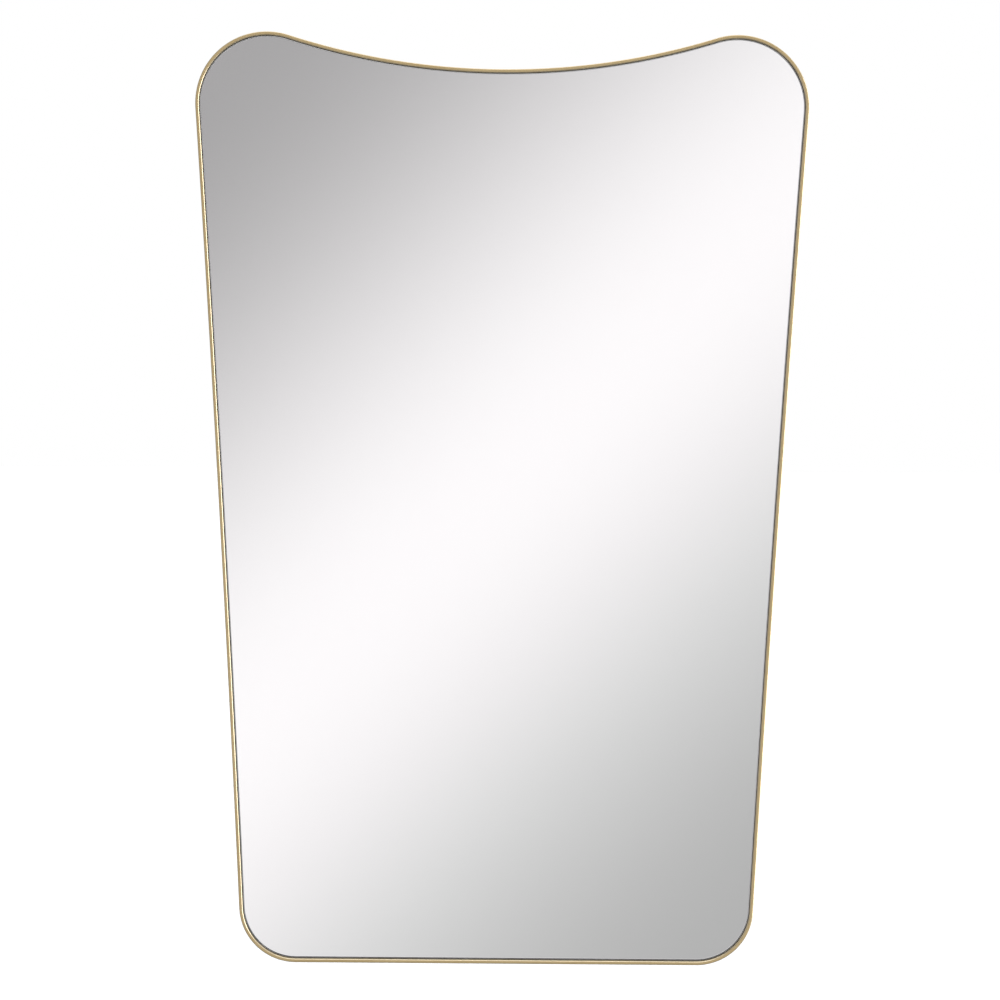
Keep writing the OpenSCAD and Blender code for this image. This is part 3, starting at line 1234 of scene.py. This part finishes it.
@dataclass
class Lugs:
    """The brazed lugs and their screws."""

    outline: Outline
    band_t: float = 3.5 * MM
    lug_back: float = 6.5 * MM
    thickness: float = 1.5 * MM
    width: float = 14 * MM
    reach: float = 10 * MM
    gap: float = 0.05 * MM
    leg: float = 1.2 * MM
    hole_r: float = 1.8 * MM
    ease: float = 0.18 * MM
    margin: float = 70 * MM
    side_count: int = 3
    screw_r: float = 1.5 * MM
    screw_l: float = 8.5 * MM
    head_r: float = 2.8 * MM
    head_h: float = 1.8 * MM
    screw_turn: float = 37.0  # degrees from one screw's recess to the next one's

    def places(self) -> list[Place]:
        """Every lug's place, in the order of the nodes.

        Returns:
            Those at the left, at the right, at the top and at the bottom.
        """
        o = self.outline
        step = (o.high.y - o.low.y - 2 * self.margin) / (self.side_count - 1)
        right, top = [], []
        for i in range(self.side_count):
            z = o.low.y + self.margin + i * step
            inward = 180 - math.degrees(math.asin((z - o.side.y) / o.side_r))
            p = o.side + (o.side_r + self.band_t) * toward(inward)
            right.append(Place(p.x, p.y, inward))
        left = [Place(-g.x, g.z, 180 - g.inward) for g in right]
        dip_end = o.high + o.top_r * toward(o.dip_turn)
        for s in (-1, 1):
            inward = -90 + s * math.degrees(math.asin((dip_end.x - self.margin) / o.dip_r))
            p = o.dip + (o.dip_r + self.band_t) * toward(inward)
            top.append(Place(p.x, p.y, inward))
        x = o.low.x - self.margin
        bottom = [Place(s * x, o.z_bottom + self.band_t, 90.0) for s in (-1, 1)]
        return left + right + top + bottom

    def _lug(self) -> Piece:
        """One lug in its own frame: +X inwards from the band's wall, +Z along it.

        Returns:
            The pattern, with its own coordinates as the attribute "own".
        """
        top, foot = -self.lug_back, self.gap + self.leg
        place = (self.reach, top - self.thickness, 0.0)
        disc = {"vertices": 48, "radius": self.width / 2, "fill_type": "NGON"}
        lug = Bench.make("lug_pattern", Shape.DISC, place, UPRIGHT, **disc)
        Bench.edit(lug)
        half = {"plane_co": (self.reach, 0.0, 0.0), "plane_no": (-1.0, 0.0, 0.0)}
        bpy.ops.mesh.bisect(clear_outer=True, **half)
        Bench.pick(lug, Pick.EDGES, lambda co, _: abs(co.x - self.reach) < CLOSE)
        Bench.extrude((-(self.reach - self.gap - self.leg), 0.0, 0.0))
        Bench.extrude((-self.leg, 0.0, 0.0))
        bpy.ops.mesh.select_mode(type="FACE")
        bpy.ops.mesh.select_all(action="SELECT")
        Bench.extrude((0.0, self.thickness, 0.0))
        Bench.pick(lug, Pick.FACES, lambda co, _: abs(co.y - top) < CLOSE and co.x < foot)
        Bench.extrude((0.0, self.leg, 0.0))
        crest = top + self.leg - CLOSE
        Bench.pick(lug, Pick.EDGES, lambda co, _: abs(co.x - foot) < CLOSE and co.y > crest)
        bpy.ops.mesh.bevel(offset=self.leg * 0.97, segments=8, profile=0.16, affect="EDGES")
        Bench.tidy(lug)
        hole = {"vertices": 40, "radius": self.hole_r, "depth": 6 * self.thickness}
        place = (self.reach, top, 0.0)
        Bench.cut(lug, Bench.make("lug_drill", Shape.ROD, place, UPRIGHT, **hole))
        Bench.ease(lug, self.ease, 3, 50)
        Bench.tidy(lug)
        Bench.level(lug)
        own = lug.data.attributes.new("own", "FLOAT_VECTOR", "POINT")
        for vertex in lug.data.vertices:
            own.data[vertex.index].vector = vertex.co
        return lug

    def build(self) -> None:
        """Models one lug and one screw, and places their copies."""
        lug = self._lug()
        screw = PanScrew(self.screw_r, self.screw_l, self.head_r, self.head_h).model()
        Bench.paint(lug, LUG_BRASS.material())
        Bench.paint(screw, ZINC.material())
        for i, place in enumerate(self.places(), 1):
            Bench.place(lug, f"brazed_lug_{i}", place.matrix, f"frame_lug_{i}", "brass_lug")
            seat = place.matrix @ Matrix.Translation((self.reach, -self.lug_back, 0.0))
            turned = seat @ spun(self.screw_turn * i)
            Bench.place(screw, f"pan_screw_{i}", turned, f"lug_screw_{i}", "zinc_screw")
        Bench.discard(lug, screw)


@dataclass
class Screw:
    """What both kinds of screw share. The shank points to -Y from y = 0."""

    shank_r: float
    shank_l: float
    head_r: float
    head_h: float
    tip: float = 1.5 * MM
    recess_w: float = 0.9 * MM
    recess_l: float = 3.4 * MM
    recess_depth: float = 1 * MM

    def _shank(self, name: str, under: float) -> Piece:
        """The shank from its tip up to the head's underside, and its face selected there.

        Args:
            name: The object's name.
            under: Depth of the head's underside below y = 0.

        Returns:
            The object, in edit mode.
        """
        length = self.shank_l - self.tip - under
        place = (0.0, -under - length / 2, 0.0)
        rod = {"vertices": 32, "radius": self.shank_r, "depth": length}
        screw = Bench.make(name, Shape.ROD, place, UPRIGHT, **rod)
        Bench.edit(screw)
        Bench.pick(screw, Pick.FACES, lambda _, n: n.y < -FLAT)
        Bench.lift(-0.7 * self.tip, 0.45)
        Bench.lift(-0.3 * self.tip, 0.12)
        Bench.pick(screw, Pick.FACES, lambda _, n: n.y > FLAT)
        return screw

    def _recessed(self, screw: Piece, top: float) -> Piece:
        """Ends a screw with its cross recess, whose arms taper inwards.

        Args:
            screw: The screw, in edit mode.
            top: Height of the head's top.

        Returns:
            The screw.
        """
        Bench.tidy(screw)
        middle = (0.0, top, 0.0)
        cross = Bench.make("cross_cutter", Shape.CUBE, middle, size=self.recess_w)
        Bench.edit(cross)
        arm = (self.recess_l - self.recess_w) / 2
        for x, z in ((1, 0), (-1, 0), (0, 1), (0, -1)):
            way = Vector((x, 0.0, z))
            start = Vector(middle) + way * self.recess_w / 2
            Bench.pick(cross, Pick.FACES, lambda co, _: (co - start).length < 5 * CLOSE)
            Bench.extrude(arm * way, (1.0 if x else 0.72, 1.0, 1.0 if z else 0.72))
        Bench.pick(cross, Pick.FACES, lambda _, n: n.y < -FLAT)
        sink = self.recess_w / 2 - self.recess_depth
        bpy.ops.transform.translate(value=(0.0, sink, 0.0))
        bpy.ops.transform.resize(value=(0.55, 1.0, 0.55))
        Bench.tidy(cross)
        Bench.cut(screw, cross)
        Bench.tidy(screw, angle=32.0)
        return screw


@dataclass
class PanScrew(Screw):
    """A pan-head screw whose head stands on y = 0."""

    crown: tuple[Plane, ...] = ((0.34, 1.0), (0.28, 0.94), (0.22, 0.86), (0.16, 0.76))

    def model(self) -> Piece:
        """Models the screw in its own frame.

        Returns:
            The pattern.
        """
        screw = self._shank("pan_screw", 0.0)
        Bench.lift(0.0, self.head_r / self.shank_r)
        for rise, widen in self.crown:
            Bench.lift(rise * self.head_h, widen)
        return self._recessed(screw, self.head_h)


@dataclass
class SunkScrew(Screw):
    """A countersunk screw whose flat head ends at y = 0."""

    land: float = 0.12 * MM

    def model(self) -> Piece:
        """Models the screw in its own frame.

        Returns:
            The pattern.
        """
        cone = self.head_r - self.shank_r
        screw = self._shank("sunk_screw", cone)
        Bench.lift(cone - self.land, (self.head_r - self.land) / self.shank_r)
        Bench.lift(self.land / 2, 1.0 + self.land / self.head_r)
        Bench.lift(self.land / 2, 0.97)
        return self._recessed(screw, 0.0)


@dataclass
class Hangers:
    """The folded straps, their D-shaped rings and their screws."""

    spacing: float = 406 * MM
    board_back: float = 8 * MM
    sheet: float = 0.8 * MM
    width: float = 12 * MM
    length: float = 36 * MM
    corner: float = 2.5 * MM
    neck_round: float = 0.9 * MM
    strap_ease: float = 0.12 * MM
    holes: Plane = (9 * MM, 28 * MM)
    wire_r: float = 1.25 * MM
    play: float = 0.07 * MM
    ring_r: float = 8 * MM
    ring_leg: float = 7 * MM
    ring_bend: float = 2.5 * MM
    ring_ease: float = 0.15 * MM
    split: float = 0.06 * MM
    neck_turn: float = 34.0
    rest_gap: float = 0.15 * MM
    screw_r: float = 1.75 * MM
    screw_l: float = 8.5 * MM
    head_r: float = 3 * MM
    hole_play: float = 0.3 * MM
    sink: float = 0.05 * MM
    seam: float = 0.03 * MM
    screw_turn: float = 20.0
    turn_by_depth: float = 3000.0  # degrees per metre that the recesses differ by

    @property
    def axis(self) -> float:
        """Distance of the ring's bar from the board."""
        return self.wire_r + self.play + self.sheet

    @property
    def ring_z(self) -> float:
        """Height of the ring's bar."""
        return -(self.ring_leg + self.ring_r)

    @property
    def lean(self) -> float:
        """Degrees that the hanging ring leans away from the board.

        Returns:
            The angle.
        """
        half = self.ring_r + self.wire_r
        out = 2 * self.sheet + self.wire_r + self.rest_gap - self.axis
        return math.degrees(math.asin(out / (self.ring_leg + half)))

    def _strap(self) -> Piece:
        """One strap: sheet steel folded round the ring, in the hanger's frame.

        Returns:
            The pattern.
        """
        low, mid, sheet = -self.length, self.axis, self.sheet
        place = (0.0, sheet / 2, low + self.width / 2)
        strap = Bench.make("strap_pattern", Shape.SQUARE, place, UPRIGHT, size=self.width)
        Bench.edit(strap)
        Bench.pick(strap, Pick.VERTS, lambda co: co.z < low + MM)
        bpy.ops.mesh.bevel(offset=self.corner, segments=6, affect="VERTICES")
        Bench.pick(strap, Pick.EDGES, lambda co, _: abs(co.z - low - self.width) < CLOSE)
        r = mid - sheet / 2
        turn = math.radians(self.neck_turn)
        neck = Vector((mid + r * math.cos(turn), -r * math.sin(turn)))
        slide = (neck.x - 1.5 * sheet) / math.sin(turn)
        foot = neck.y - slide * math.cos(turn)
        legs = (
            Run((0.0, 0.0, self.length - self.width)),
            Turn((0.0, mid, 0.0), 180 + self.neck_turn, 36, axis=(-1.0, 0.0, 0.0)),
            Run((0.0, -slide * math.sin(turn), -slide * math.cos(turn))),
            Run((0.0, 0.0, low + self.width - foot)),
            Run((0.0, 0.0, -self.width)),
        )
        Bench.sweep(legs)
        Bench.pick(strap, Pick.VERTS, lambda co: co.z < low + CLOSE and co.y > sheet)
        bpy.ops.mesh.bevel(offset=self.corner, segments=6, affect="VERTICES")
        Bench.pick(strap, Pick.EDGES, lambda co, _: abs(co.z - foot) < CLOSE and co.y > sheet)
        bpy.ops.mesh.bevel(offset=self.neck_round, segments=5, affect="EDGES")
        solid = {"thickness": sheet - self.seam, "offset": 0.0, "use_even_offset": True}
        Bench.modify(strap, "SOLIDIFY", **solid)
        Bench.tidy(strap)
        for depth in self.holes:
            Bench.cut(strap, self._drill(depth))
        Bench.ease(strap, self.strap_ease, 2, 50)
        Bench.tidy(strap)
        Bench.level(strap)
        return strap

    def _drill(self, depth: float) -> Piece:
        """The cutter of one countersunk hole.

        Args:
            depth: How far it lies below the ring's bar.

        Returns:
            The cutter.
        """
        shank, head = self.screw_r + self.hole_play, self.head_r + self.hole_play
        place = (0.0, 2 * self.sheet - (head - shank) - MM, -depth)
        rod = {"vertices": 48, "radius": shank, "depth": 2 * MM}
        drill = Bench.make("strap_drill", Shape.ROD, place, UPRIGHT, **rod)
        Bench.edit(drill)
        Bench.pick(drill, Pick.FACES, lambda _, n: n.y > FLAT)
        Bench.lift(head - shank, head / shank)
        Bench.extrude((0.0, MM, 0.0))
        Bench.tidy(drill)
        return drill

    def _ring(self) -> Piece:
        """One ring, hanging from its bar, with a butt joint in the bar's middle.

        Returns:
            The pattern.
        """
        bar, bend, leg = self.ring_r + self.wire_r - self.ring_bend, self.ring_bend, self.ring_leg
        place = (self.split, 0.0, 0.0)
        disc = {"vertices": 28, "radius": self.wire_r, "fill_type": "NGON"}
        ring = Bench.make("ring_pattern", Shape.DISC, place, SIDEWAYS, **disc)
        Bench.edit(ring)
        across = (0.0, 1.0, 0.0)
        half_bar = Run((bar - self.split, 0.0, 0.0))
        legs = (
            half_bar,
            Turn((bar, 0.0, -bend), 90, 14, axis=across),
            Run((0.0, 0.0, -(leg - bend))),
            Turn((0.0, 0.0, -leg), 180, 44, axis=across),
            Run((0.0, 0.0, leg - bend)),
            Turn((-bar, 0.0, -bend), 90, 14, axis=across),
            half_bar,
        )
        Bench.sweep(legs)
        Bench.ease(ring, self.ring_ease, 3, 60)
        Bench.tidy(ring, angle=40.0)
        return ring

    def build(self) -> None:
        """Models one of each and places the copies."""
        strap, ring = self._strap(), self._ring()
        screw = SunkScrew(self.screw_r, self.screw_l - self.sink, self.head_r, 0.0).model()
        for pattern, finish in ((strap, NICKEL), (ring, WIRE), (screw, ZINC)):
            Bench.paint(pattern, finish.material())
        for side in Side:
            word, middle = side.word, side.value * self.spacing / 2
            base = Matrix.Translation((middle, -self.board_back, self.ring_z))
            lean = Matrix.Rotation(math.radians(self.lean), 4, "X")
            hang = base @ Matrix.Translation((0.0, self.axis, 0.0)) @ lean
            given = (f"hanger_strap_{word}", "nickel_hanger")
            Bench.place(strap, f"folded_strap_{word}", base, *given)
            given = (f"hanger_ring_{word}", "nickel_ring", f"ring_{word}")
            Bench.place(ring, f"wire_ring_{word}", hang, *given)
            for row, depth in zip(("upper", "lower"), self.holes):
                name = f"{word}_{row}"
                turn = spun(self.screw_turn + self.turn_by_depth * depth * side.value)
                seat = Matrix.Translation((0.0, 2 * self.sheet - self.sink, -depth)) @ turn
                given = (f"hanger_screw_{name}", "zinc_screw")
                Bench.place(screw, f"sunk_screw_{name}", base @ seat, *given)
        Bench.discard(strap, ring, screw)


@dataclass
class WallBumpers:
    """The rubber bumpers, with a groove in the face and a parting line round the side."""

    outline: Outline
    radius: float = 9 * MM
    depth: float = 8 * MM
    inset: float = 30 * MM
    edge: float = 1.5 * MM
    ease: float = 0.12 * MM
    parting: float = 0.06 * MM
    parting_at: Point = (0.48, 0.5, 0.52)  # as shares of the depth
    land: float = 3.6 * MM
    groove_wall: float = 0.25 * MM
    groove_w: float = 0.5 * MM
    groove: float = 0.4 * MM
    turn: float = 15.0
    side_turn: float = 50.0

    def _bumper(self) -> Piece:
        """One bumper with its contact face at y = 0.

        Returns:
            The pattern.
        """
        side = self.radius - self.parting
        place = (0.0, -self.depth / 2, 0.0)
        rod = {"vertices": 72, "radius": side, "depth": self.depth}
        bumper = Bench.make("bumper_pattern", Shape.ROD, place, UPRIGHT, **rod)
        Bench.edit(bumper)
        for share in self.parting_at:
            place = (0.0, -share * self.depth, 0.0)
            bpy.ops.mesh.select_all(action="SELECT")
            bpy.ops.mesh.bisect(plane_co=place, plane_no=(0.0, 1.0, 0.0))
        Bench.pick(bumper, Pick.VERTS, lambda co: abs(co.y + self.depth / 2) < CLOSE)
        bpy.ops.transform.resize(value=(self.radius / side, 1.0, self.radius / side))
        Bench.pick(bumper, Pick.FACES, lambda _, n: n.y > FLAT)
        for width in (self.land, self.groove_wall, self.groove_w, self.groove_wall):
            bpy.ops.mesh.inset(thickness=width)
        outer = side - self.land - self.groove_wall + 2 * CLOSE
        inner = outer - self.groove_w - 4 * CLOSE
        Bench.pick(
            bumper, Pick.VERTS, lambda co: co.y > -CLOSE and inner < math.hypot(co.x, co.z) < outer
        )
        bpy.ops.transform.translate(value=(0.0, -self.groove, 0.0))
        rim = side - 10 * CLOSE
        Bench.pick(
            bumper, Pick.EDGES, lambda co, _: co.y > -CLOSE and math.hypot(co.x, co.z) > rim
        )
        bpy.ops.mesh.bevel(offset=self.edge, segments=6, affect="EDGES")
        Bench.ease(bumper, self.ease, 2, 25)
        Bench.tidy(bumper)
        Bench.level(bumper)
        return bumper

    def build(self) -> None:
        """Models one bumper and places the copies."""
        o, bumper = self.outline, self._bumper()
        Bench.paint(bumper, RUBBER.material())
        low = o.low + (o.bottom_r - self.inset) * toward(-45)
        high = o.high + (o.top_r - self.inset) * toward(45)
        for row, point in (("lower", low), ("upper", high)):
            for side in Side:
                name = f"{row}_{side.word}"
                place = Matrix.Translation((side.value * point.x, 0.0, point.y))
                seat = place @ spun(self.side_turn * side.value + self.turn)
                given = (f"wall_bumper_{name}", "rubber_bumper")
                Bench.place(bumper, f"rubber_bumper_{name}", seat, *given)
        Bench.discard(bumper)


@dataclass
class Studio:
    """Floor, reflected rooms, world and lamps: nothing here belongs to the mirror."""

    floor_z: float = -1.3
    floor_size: float = 60.0
    floor_tint: Colour = (0.78, 0.78, 0.78, 1.0)
    floor_glow: float = 0.42
    room_r: float = 8.0
    band_angle: float = 46.0
    band_half: float = 1.57
    band_z: float = -0.556
    peak: float = 0.988
    dark_low: float = 0.302
    dark_high: float = 0.352
    soften: float = 0.1
    gamma: float = 2.2
    mirror_level: float = 1.095
    white: Colour = (0.977, 0.977, 0.977, 1.0)
    rosy_white: Colour = (1.0, 0.977, 0.989, 1.0)
    metal_front: float = 0.60
    metal_back: float = 0.85
    box_right: float = 5.4
    box_top: float = 1.6
    fill: float = 0.36
    key: float = 1.5
    back_key: float = 0.9

    def _floor(self) -> None:
        """A pale floor that renders white and keeps the mirror's shadow."""
        grid = {"x_subdivisions": 8, "y_subdivisions": 8, "size": self.floor_size}
        floor = Bench.make("studio_floor", Shape.GRID, (0.0, 0.0, self.floor_z), **grid)
        made = bpy.data.materials.new("pale_floor")
        graph = Graph.of(made)
        paint = graph.add("ShaderNodeBsdfDiffuse", {"Color": self.floor_tint})
        seen = graph.add("ShaderNodeLightPath").outputs["Is Camera Ray"]
        level = graph.times(seen, self.floor_glow)
        glow = graph.add("ShaderNodeEmission", {"Color": WHITE, "Strength": level})
        both = graph.add("ShaderNodeAddShader", {0: paint.outputs[0], 1: glow.outputs[0]})
        graph.add("ShaderNodeOutputMaterial", {"Surface": both.outputs[0]})
        Bench.paint(floor, made)
        floor.visible_glossy = floor.visible_transmission = False

    def _shell(self, name: str, radius: float) -> tuple[Graph, Piece, list[Socket]]:
        """A round room that neither the camera, soft light nor shadows see.

        Args:
            name: The room's name.
            radius: Its radius.

        Returns:
            (its material's tree, the room, its coordinates x, y and z as shares of the radius).
        """
        ball = {"segments": 96, "ring_count": 48, "radius": radius}
        room = Bench.make(name, Shape.BALL, (0.0, 0.0, 0.0), **ball)
        room.visible_camera = room.visible_diffuse = room.visible_shadow = False
        made = bpy.data.materials.new(f"{name}_light")
        graph = Graph.of(made)
        Bench.paint(room, made)
        return graph, room, graph.axes(graph.stretch(graph.coords(), (1 / radius,) * 3))

    @staticmethod
    def _glow(graph: Graph, level: Value, colour: Tint = WHITE) -> None:
        """Ends a room's material in a light of one level and colour."""
        glow = graph.add("ShaderNodeEmission", {"Strength": level, "Color": colour})
        graph.add("ShaderNodeOutputMaterial", {"Surface": glow.outputs[0]})

    def _mirror_room(self) -> None:
        """What the glass shows: a soft white band that crosses grey on the slant."""
        graph, room, (x, _, z) = self._shell("mirror_room", self.room_r)
        room.visible_glossy = False
        turn, share = math.radians(self.band_angle), self.room_r / self.band_half
        height = graph.math("SUBTRACT", z, self.band_z / self.room_r)
        right = graph.times(x, math.cos(turn) * share)
        across = graph.math("SUBTRACT", right, graph.times(height, math.sin(turn) * share))
        upper = graph.math("LESS_THAN", across, 0.0)
        wave = graph.span(graph.math("PINGPONG", across, 1.0), 0.0, 1.0)
        wave = graph.math("POWER", wave, graph.raised(1.0, upper, self.soften))
        depth = graph.raised(self.dark_low, upper, self.dark_high - self.dark_low)
        level = graph.math("SUBTRACT", self.peak, graph.times(wave, depth))
        level = graph.math("POWER", level, self.gamma)
        level = graph.times(graph.times(level, graph.span(z, -0.8, -0.3, 0.5)), self.mirror_level)
        rosy = graph.span(across, 0.2, 0.55, 1.0, 0.0)
        self._glow(graph, level, graph.blend(rosy, self.white, self.rosy_white))

    def _metal_room(self) -> None:
        """What bare metal shows: brighter right, above and behind, with two soft boxes."""
        graph, room, (x, y, z) = self._shell("metal_room", self.room_r + 0.5)
        room.visible_transmission = False
        level = graph.span(y, 0.0, 1.0, self.metal_front, self.metal_back)
        for axis, *ends in (
            (x, 0.25, 0.7, 1.0, 1.3),
            (x, -0.7, -0.2, 0.42, 1.0),
            (x, -0.96, -0.8, 1.7, 1.0),
            (z, 0.25, 0.7, 1.0, 1.3),
            (z, -0.8, -0.3, 0.28, 1.0),
        ):
            level = graph.times(level, graph.span(axis, *ends))
        front = graph.span(y, -0.5, -0.25, 1.0, 0.0)
        for along, across, strength in ((x, z, self.box_right), (z, x, self.box_top)):
            near = graph.span(graph.math("ABSOLUTE", across), 0.28, 0.42, 1.0, 0.0)
            box = graph.times(graph.span(along, 0.62, 0.76, 0.0, strength), near)
            level = graph.math("ADD", level, graph.times(box, front))
        self._glow(graph, level)

    def _world(self) -> None:
        """White to the camera and in reflections, and an even fill for everything else."""
        world = bpy.data.worlds.new("studio_world")
        bpy.context.scene.world = world
        graph = Graph.of(world)
        path = graph.add("ShaderNodeLightPath").outputs
        shown = graph.math("MAXIMUM", path["Is Glossy Ray"], path["Is Transmission Ray"])
        seen = graph.math("MAXIMUM", path["Is Camera Ray"], shown)
        level = graph.span(seen, 0.0, 1.0, self.fill, smooth=False)
        sky = graph.add("ShaderNodeBackground", {"Color": WHITE, "Strength": level})
        graph.add("ShaderNodeOutputWorld", {"Surface": sky.outputs[0]})

    def _lamp(
        self, name: str, strength: float, spread: float, azimuth: float, elevation: float
    ) -> None:
        """A wide distant lamp.

        Args:
            name: The lamp's name.
            strength: Its strength.
            spread: Its angular width in degrees, which softens shadows.
            azimuth: Where it stands: 0 in front, 90 to the right.
            elevation: Its height above the horizon in degrees.
        """
        data = bpy.data.lights.new(name, "SUN")
        data.energy, data.angle = strength, math.radians(spread)
        lamp = bpy.data.objects.new(name, data)
        bpy.context.scene.collection.objects.link(lamp)
        a, e = math.radians(azimuth), math.radians(elevation)
        stand = Vector((math.sin(a) * math.cos(e), -math.cos(a) * math.cos(e), math.sin(e)))
        lamp.rotation_mode = "QUATERNION"
        lamp.rotation_quaternion = stand.to_track_quat("Z", "Y")
        lamp.visible_glossy = lamp.visible_transmission = False

    def build(self) -> None:
        """Sets the studio up."""
        self._floor()
        self._mirror_room()
        self._metal_room()
        self._world()
        self._lamp("key_lamp", self.key, 25.0, 35.0, 50.0)
        self._lamp("back_lamp", self.back_key, 30.0, 205.0, 40.0)


@dataclass
class PhotoCamera:
    """The camera at the photograph's viewing angle."""

    distance: float = 3.625
    z: float = -0.087
    yaw: float = -0.010
    pitch: float = -2.53
    roll: float = 0.44
    lens: float = 132.2
    sensor: float = 36.0
    reach: float = 100.0

    def build(self) -> None:
        """Makes the camera and gives it to the scene."""
        data = bpy.data.cameras.new("photo_camera")
        data.lens, data.sensor_width = self.lens, self.sensor
        data.clip_end = self.reach
        camera = bpy.data.objects.new("photo_camera", data)
        bpy.context.scene.collection.objects.link(camera)
        place = Matrix.Translation((0.0, -self.distance, self.z))
        for angle, axis in ((self.yaw, "Z"), (90 + self.pitch, "X"), (self.roll, "Z")):
            place = place @ Matrix.Rotation(math.radians(angle), 4, axis)
        camera.matrix_world = place
        bpy.context.scene.camera = camera


def main() -> None:
    """Builds every sub-assembly round the frame, then the studio and camera."""
    logging.basicConfig(level=logging.INFO, format="%(name)s: %(message)s")
    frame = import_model()
    bpy.context.scene.view_settings.view_transform = "Standard"
    Effects.build()
    outline = Outline()
    PhotoCamera().build()
    FrameBand(outline).build()
    MirrorGlass(outline).build()
    BackingBoard(frame["nodes"]).build()
    MountingTapes(frame["nodes"]).build()
    Lugs(outline).build()
    Hangers().build()
    WallBumpers(outline).build()
    Studio().build()


if __name__ == "__main__":
    main()
